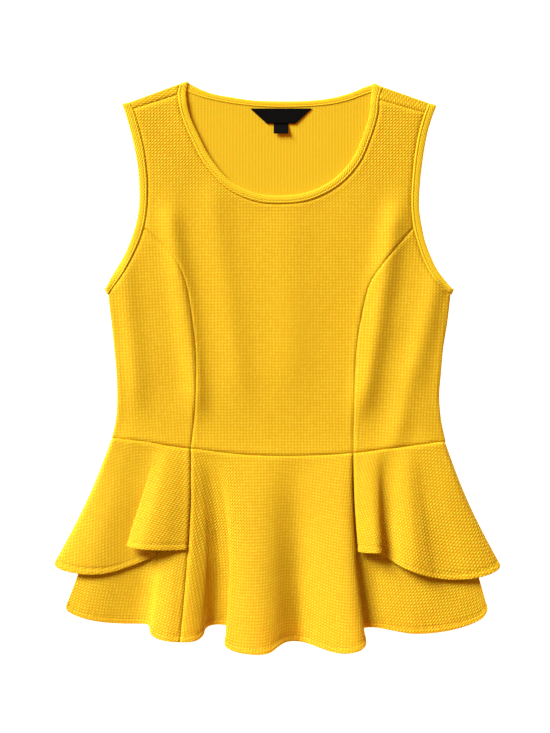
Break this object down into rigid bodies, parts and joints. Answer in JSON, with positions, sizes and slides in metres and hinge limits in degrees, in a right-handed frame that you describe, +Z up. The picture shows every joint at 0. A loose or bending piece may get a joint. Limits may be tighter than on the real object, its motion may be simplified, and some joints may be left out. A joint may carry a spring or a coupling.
{
  "type": "peplum top",
  "caption": "Sleeveless knit top laid face up, with a scoop neck, princess seams, bound edges and a flared tiered peplum whose short upper tier is open in front.",
  "frame": {"origin": "on the resting surface, below the middle of the laid garment", "axes": "+X across the garment to the right as seen from above, +Y from the hem to the neck, +Z up off the surface the back lies on"},
  "size_m": [0.4901, 0.6298, 0.0264],
  "materials": {
    "body_knit": "yellow textured stretch knit, matte",
    "peplum_knit": "the same yellow textured stretch knit, cut flared",
    "binding_knit": "folded bias strip of the same yellow knit",
    "label_ribbon": "plain black woven ribbon, bare"
  },
  "bodies": {
    "root": {"back": "body_knit", "front_centre": "body_knit", "front_side_left": "body_knit", "front_side_right": "body_knit", "neck_binding": "binding_knit", "armhole_binding_left": "binding_knit", "armhole_binding_right": "binding_knit", "flounce_back": "peplum_knit", "peplum_back": "peplum_knit", "peplum_front": "peplum_knit", "peplum_side_left": "peplum_knit", "peplum_side_right": "peplum_knit", "flounce_left": "peplum_knit", "flounce_right": "peplum_knit", "neck_label": "label_ribbon"}
  },
  "joints": []
}
